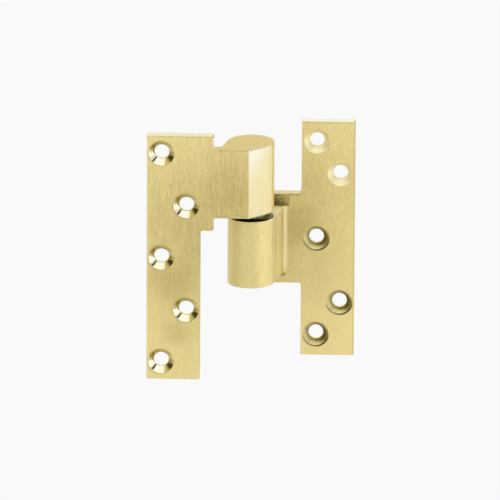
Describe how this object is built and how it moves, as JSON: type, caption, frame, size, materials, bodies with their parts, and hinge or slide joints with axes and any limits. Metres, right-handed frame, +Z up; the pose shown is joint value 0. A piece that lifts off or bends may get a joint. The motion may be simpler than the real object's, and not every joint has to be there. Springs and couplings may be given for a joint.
{
  "type": "pivot hinge",
  "caption": "Offset intermediate pivot hinge: a door leaf and a jamb leaf, each cast with a tall knuckle, turn about a vertical pin.",
  "frame": {"origin": "on the jamb leaf's back face, behind its middle screw hole", "axes": "+Z up along the pivot axis, +Y into the door frame, +X away from the pivot along the jamb leaf"},
  "size_m": [0.1072, 0.0442, 0.1322],
  "materials": {
    "leaf_brass": "satin, brushed upright",
    "pin_steel": "ground",
    "bearing_bronze": "turned, oiled"
  },
  "bodies": {
    "jamb": {"jamb_leaf": "leaf_brass", "pivot_pin": "pin_steel", "thrust_washer": "bearing_bronze"},
    "door": {"door_leaf": "leaf_brass", "flanged_bush": "bearing_bronze"}
  },
  "joints": [
    {"name": "pivot", "type": "hinge", "parent": "jamb", "child": "door", "pos_m": [-0.0336, -0.0259, 0], "axis": [0, 0, 1], "range_deg": [0, 180]}
  ]
}
